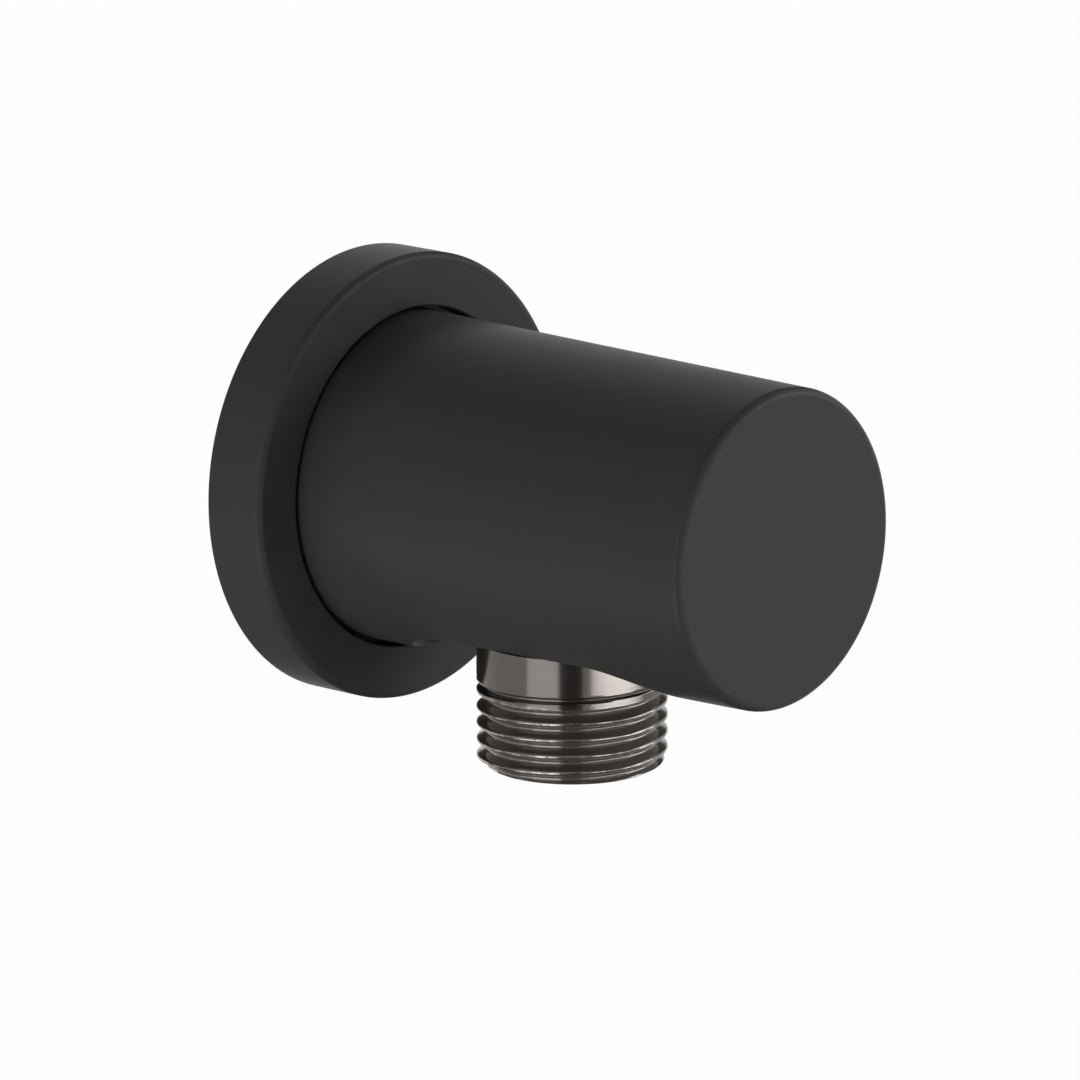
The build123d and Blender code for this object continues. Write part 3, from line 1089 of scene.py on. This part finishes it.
@dataclass
class PoppetSpring:
    """The check cartridge's spring, wound at one length; the real spring shortens as the poppet
    opens.

    Args:
        turns: how many turns it has.
        wire: its wire's diameter in metres.
        steps: how many steps make one turn.
        sides: how many sides the wire has.
        keep: not used; it stands for the share of its height kept when the poppet is fully open.
    """

    turns: int = 6
    wire: float = 0.45 * MM
    steps: int = 40
    sides: int = 12
    keep: float = 0.7

    def build(self) -> bpy.types.Object:
        """Winds the spring in the CAD spring's place.

        Returns:
            The piece.
        """
        low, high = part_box("check_spring")
        centre = middle("check_spring")
        mean = (high[0] - low[0] - self.wire) / 2
        height = high[2] - low[2] - self.wire
        foot = Vector((centre.x, centre.y, low[2] + self.wire / 2))
        mesh = Mesh(foot, UP)
        place = Matrix.Translation(mesh.at(mean, 0.0)) @ Matrix.Rotation(math.radians(90), 4, "X")
        ring = bmesh.ops.create_circle(
            mesh.bm, cap_ends=False, segments=self.sides, radius=self.wire / 2, matrix=place
        )["verts"]
        bmesh.ops.spin(
            mesh.bm,
            geom=ring + list({edge for vert in ring for edge in vert.link_edges}),
            cent=foot,
            axis=UP,
            dvec=UP * (height / (self.steps * self.turns)),
            angle=math.tau * self.turns,
            steps=self.steps * self.turns,
            use_merge=False,
        )
        ends = [edge for edge in mesh.bm.edges if edge.is_boundary]
        bmesh.ops.holes_fill(mesh.bm, edges=ends, sides=0)
        mesh.close()
        piece = mesh.finish("poppet_spring", FIXED_BODY)
        STEEL.dress(piece)
        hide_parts("check_spring")
        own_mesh(piece)
        return piece


@dataclass
class SeatedRing:
    """The rosette's o-ring as it sits, pressed lightly onto the body.

    Args:
        press: how far it is pressed onto the body, in metres.
        sides: how many sides its section has.
        steps: how many steps make the ring.
    """

    press: float = 0.03 * MM
    sides: int = 28
    steps: int = TURN_STEPS

    def build(self) -> bpy.types.Object:
        """Makes the ring in place of the CAD one.

        Returns:
            The piece.
        """
        low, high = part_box("rosette_ring")
        outer = high[0]
        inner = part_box("body")[1][0] - self.press
        along = (low[1] + high[1]) / 2
        centre, half = (outer + inner) / 2, (outer - inner) / 2
        height = (high[1] - low[1]) / 2
        mesh = Mesh(Vector(), Vector((0.0, 1.0, 0.0)))
        angles = [math.tau * i / self.sides for i in range(self.sides + 1)]
        section = [(centre + half * math.cos(a), along + height * math.sin(a)) for a in angles]
        mesh.turn(mesh.chain(section), self.steps)
        mesh.weld()
        mesh.close()
        piece = mesh.finish("seated_rosette_ring", FIXED_BODY, smooth_below=60.0)
        # The ring's light grey colour is painted light in the dark gap round the body.
        RUBBER_PAINTED_LIGHT.dress(piece)
        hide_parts("rosette_ring")
        return piece


@dataclass
class HoseOutlet:
    """The hose nipple with its o-ring."""

    nipple: HoseNipple = field(default_factory=HoseNipple)

    def build(self) -> list[bpy.types.Object]:
        """Builds the nipple and dresses the ring."""
        RUBBER.dress(frame["nodes"]["outlet_ring"])
        return [self.nipple.build(), frame["nodes"]["outlet_ring"]]


@dataclass
class Cover:
    """The rosette with its gasket and o-ring."""

    ring: SeatedRing = field(default_factory=SeatedRing)

    def build(self) -> list[bpy.types.Object]:
        """Makes the ring and dresses the cover's other pieces."""
        return [self.ring.build(), *dress_nodes({"rosette": BLACK_PAINT, "rosette_gasket": FOAM})]


@dataclass
class Elbow:
    """The painted body with its grub screw."""

    def build(self) -> list[bpy.types.Object]:
        """Dresses the body and the screw."""
        return dress_nodes({"body": BLACK_PAINT, "grub_screw": STEEL})


@dataclass
class WallInlet:
    """The nipple in the wall, with its rings and strainer."""

    nipple: InletNipple = field(default_factory=InletNipple)

    def build(self) -> list[bpy.types.Object]:
        """Makes the nipple and dresses the inlet's other pieces.

        Returns:
            The inlet's objects.
        """
        finishes = {
            "spigot_ring_rear": RUBBER,
            "spigot_ring_front": RUBBER,
            "strainer": PALE_PLASTIC,
        }
        return [self.nipple.build(), *dress_nodes(finishes)]


@dataclass
class CheckCartridge:
    """The check cartridge in the hose nipple."""

    spring: PoppetSpring = field(default_factory=PoppetSpring)

    def build(self) -> list[bpy.types.Object]:
        """Winds the spring and dresses the cartridge's pieces.

        Returns:
            The cartridge's objects.
        """
        finishes = {
            "check_housing": PALE_PLASTIC,
            "check_seat": PALE_PLASTIC,
            "check_poppet": BLUE_PLASTIC,
            "poppet_ring": RUBBER,
            "cartridge_ring": RUBBER,
        }
        return [self.spring.build(), *dress_nodes(finishes)]


def dress_nodes(finishes: dict[str, Finish]) -> list[bpy.types.Object]:
    """Gives CAD nodes their finishes.

    Args:
        finishes: the finish of each node.

    Returns:
        The nodes' objects.
    """
    for name, finish in finishes.items():
        finish.dress(frame["nodes"][name])
    return [frame["nodes"][name] for name in finishes]


def direction(azimuth: float, elevation: float) -> Vector:
    """Gives the direction from the object to something that stands round it.

    Args:
        azimuth: where it stands, in degrees, 0 in front of the wall.
        elevation: how high it stands, in degrees.

    Returns:
        The direction.
    """
    turn, lift = math.radians(azimuth), math.radians(elevation)
    level = Vector((math.sin(turn), -math.cos(turn), 0.0))
    return level * math.cos(lift) + UP * math.sin(lift)


@dataclass(frozen=True)
class Softbox:
    """A large soft lamp that looks at the object.

    Args:
        name: its name.
        azimuth: where it stands, in degrees round the object, 0 in front of the wall.
        elevation: how high it stands, in degrees.
        distance: how far off it is, in metres.
        width: its width in metres.
        height: its height in metres.
        power: its power in watts.
    """

    name: str
    azimuth: float
    elevation: float
    distance: float
    width: float
    height: float
    power: float

    def build(self, centre: Vector) -> None:
        """Adds the lamp.

        Args:
            centre: the point that it looks at.
        """
        data = bpy.data.lights.new(self.name, "AREA")
        data.shape = "RECTANGLE"
        data.size = self.width
        data.size_y = self.height
        data.energy = self.power
        lamp = bpy.data.objects.new(self.name, data)
        away = direction(self.azimuth, self.elevation)
        lamp.location = centre + away * self.distance
        lamp.rotation_mode = "QUATERNION"
        lamp.rotation_quaternion = (-away).to_track_quat("-Z", "Y")
        lamp.visible_camera = False
        bpy.context.scene.collection.objects.link(lamp)


@dataclass(frozen=True)
class Studio:
    """The camera, the lamps, the pale surroundings and the floor.

    Args:
        azimuth: where the camera stands, in degrees round the object.
        elevation: how high it stands, in degrees.
        distance: its distance from the object's origin along its view, in metres.
        scale: pixels per metre at the origin, in the photograph.
        origin_x: the origin's column in the photograph.
        origin_y: the origin's row in the photograph.
        frame_size: the photograph's width and height in pixels.
        floor_height: height of the floor in metres.
        front_distance: how far the front cloth hangs from the object, in metres.
        front_width: its width in metres.
        front_height: its height in metres.
        front_middle: the height of its middle in metres.
        below_drop: how far the lower cloth lies below the object, in metres.
        below_width: its width in metres.
        rear_azimuth: where the rear cloth hangs, in degrees round the object.
        rear_elevation: how high it hangs, in degrees.
        rear_distance: how far it hangs from the object, in metres.
        rear_width: its width in metres.
        rear_height: its height in metres.
        cloth_grey: how light the cloths are.
        floor_width: the floor's width in metres.
        floor_grey: how light the floor is.
        floor_glow: share of plain white in what the eye sees of the floor.
        room_grey: how light the room is to matt surfaces.
    """

    azimuth: float = -48.4169
    elevation: float = 13.3708
    distance: float = 0.9123
    scale: float = 8999.6
    origin_x: float = 364.313
    origin_y: float = 466.1333
    frame_size: float = 1080.0
    floor_height: float = -0.6
    front_distance: float = 0.6
    front_width: float = 0.29
    front_height: float = 1.08
    front_middle: float = -0.3
    below_drop: float = 0.25
    below_width: float = 0.5
    rear_azimuth: float = 110.0
    rear_elevation: float = 26.0
    rear_distance: float = 0.6
    rear_width: float = 0.26
    rear_height: float = 0.34
    cloth_grey: float = 0.03
    floor_width: float = 12.0
    floor_grey: float = 0.8
    floor_glow: float = 0.99
    room_grey: float = 0.065

    SENSOR = 36.0  # in millimetres
    CLIP = 0.01, 20.0  # in metres

    def camera(self) -> None:
        """Adds the camera at the photograph's place and angle."""
        back = direction(self.azimuth, self.elevation)
        right = UP.cross(back).normalized()
        up = back.cross(right)
        half = self.frame_size / 2
        across = (self.origin_x - half) / self.scale
        above = (half - self.origin_y) / self.scale
        data = bpy.data.cameras.new("camera")
        data.sensor_width = self.SENSOR
        data.lens = data.sensor_width * self.distance * self.scale / self.frame_size
        data.clip_start, data.clip_end = self.CLIP
        eye = bpy.data.objects.new("camera", data)
        eye.matrix_world = Matrix(
            (
                (right.x, up.x, back.x, 0.0),
                (right.y, up.y, back.y, 0.0),
                (right.z, up.z, back.z, 0.0),
                (0.0, 0.0, 0.0, 1.0),
            )
        )
        eye.location = back * self.distance - right * across - up * above
        bpy.context.scene.collection.objects.link(eye)
        bpy.context.scene.camera = eye

    def lamps(self) -> None:
        """Adds the lamps: azimuth, elevation, distance, width, height and power of each."""
        low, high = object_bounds()
        centre = (low + high) / 2
        boxes = (
            Softbox("left_softbox", -82.0, -3.0, 0.7, 0.54, 0.95, 2.5),
            Softbox("lower_left_softbox", -95.0, -38.0, 0.6, 0.6, 0.3, 1.6),
            Softbox("right_softbox", 8.0, -13.4, 0.7, 0.92, 0.08, 2.1),
            Softbox("right_fill", 48.0, 20.0, 0.8, 0.5, 0.4, 3.3),
            Softbox("top_softbox", 130.0, 50.0, 0.8, 0.5, 0.5, 0.05),
            Softbox("rear_softbox", 180.0, 8.0, 0.9, 0.3, 0.3, 1.3),
        )
        for box in boxes:
            box.build(centre)

    def sheet(
        self, name: str, place: Matrix, shader: Callable[[Graph], Signal]
    ) -> bpy.types.Object:
        """Adds a flat sheet of the studio.

        Args:
            name: the sheet's name.
            place: where it is, as the transform of a square of two metres.
            shader: builds its surface shader.

        Returns:
            The sheet.
        """
        bm = bmesh.new()
        bmesh.ops.create_grid(bm, x_segments=1, y_segments=1, size=1.0, matrix=place)
        data = bpy.data.meshes.new(name)
        bm.to_mesh(data)
        bm.free()
        finish = bpy.data.materials.new(name)
        finish.use_nodes = True
        graph = Graph(finish.node_tree)
        graph.surface(shader(graph))
        data.materials.append(finish)
        made = bpy.data.objects.new(name, data)
        bpy.context.scene.collection.objects.link(made)
        made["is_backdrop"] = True
        return made

    def cloths(self) -> None:
        """Hangs dark cloths for the metal to reflect: in front, behind on the right and below.

        The camera doesn't see them.
        """
        front = (
            Matrix.Rotation(math.radians(self.azimuth), 4, "Z")
            @ Matrix.Translation((0.0, -self.front_distance, self.front_middle))
            @ Matrix.Rotation(math.radians(90), 4, "X")
            @ Matrix.Diagonal((self.front_width / 2, self.front_height / 2, 1.0, 1.0))
        )
        away = direction(self.rear_azimuth, self.rear_elevation)
        rear = (
            Matrix.Translation(away * self.rear_distance)
            @ away.to_track_quat("Z", "Y").to_matrix().to_4x4()
            @ Matrix.Diagonal((self.rear_width / 2, self.rear_height / 2, 1.0, 1.0))
        )
        below = Matrix.Translation((0.0, 0.0, -self.below_drop)) @ Matrix.Diagonal(
            (self.below_width / 2, self.below_width / 2, 1.0, 1.0)
        )
        places = {"front_cloth": front, "rear_cloth": rear, "lower_cloth": below}
        for name, place in places.items():
            cloth = self.sheet(name, place, self.dark_cloth)
            cloth.visible_camera = False

    def dark_cloth(self, graph: Graph) -> Signal:
        """Builds the cloths' surface shader."""
        return graph.node("ShaderNodeBsdfDiffuse", {}, {"Color": rgba((self.cloth_grey,) * 3)})

    def pale_floor(self, graph: Graph) -> Signal:
        """Builds the floor's surface shader: white to the eye, with the object's shadow on it.

        Args:
            graph: the material's tree.

        Returns:
            The surface shader.
        """
        seen = graph.sees(Ray.CAMERA, Ray.GLOSSY, Ray.TRANSMISSION)
        lit = graph.node("ShaderNodeBsdfDiffuse", {}, {"Color": rgba((self.floor_grey,) * 3)})
        glow = graph.node("ShaderNodeEmission", {}, {"Color": rgba((1.0,) * 3), "Strength": 1.0})
        return graph.node("ShaderNodeMixShader", {}, [seen * self.floor_glow, lit, glow])

    def world(self) -> None:
        """Makes the surroundings white to the camera and to shiny surfaces, and softly lit."""
        world = bpy.data.worlds.new("pale_room")
        world.use_nodes = True
        bpy.context.scene.world = world
        graph = Graph(world.node_tree)
        seen = graph.sees(Ray.CAMERA, Ray.GLOSSY, Ray.TRANSMISSION)
        colour = graph.blend(seen, rgba((self.room_grey,) * 3), rgba((1.0,) * 3))
        sky = graph.node("ShaderNodeBackground", {}, {"Color": colour})
        graph.node("ShaderNodeOutputWorld", {}, {"Surface": sky})

    def floor(self) -> None:
        """Adds the plain pale floor."""
        half = self.floor_width / 2
        place = Matrix.Translation((0.0, 0.0, self.floor_height)) @ Matrix.Diagonal(
            (half, half, 1.0, 1.0)
        )
        self.sheet("floor", place, self.pale_floor)

    def build(self) -> None:
        """Sets up the whole studio."""
        bpy.context.scene.view_settings.view_transform = "Standard"
        self.camera()
        self.lamps()
        self.cloths()
        self.world()
        self.floor()


def main() -> None:
    """Builds every sub-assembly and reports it."""
    logging.basicConfig(level=logging.INFO, format="%(name)s: %(message)s")
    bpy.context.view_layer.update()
    for assembly in (Cover(), Elbow(), HoseOutlet(), WallInlet(), CheckCartridge()):
        for piece in assembly.build():
            faces = len(piece.data.polygons)
            log.info("%s: %s, %d faces", type(assembly).__name__, piece.name, faces)
    Studio().build()


if __name__ == "__main__":
    main()
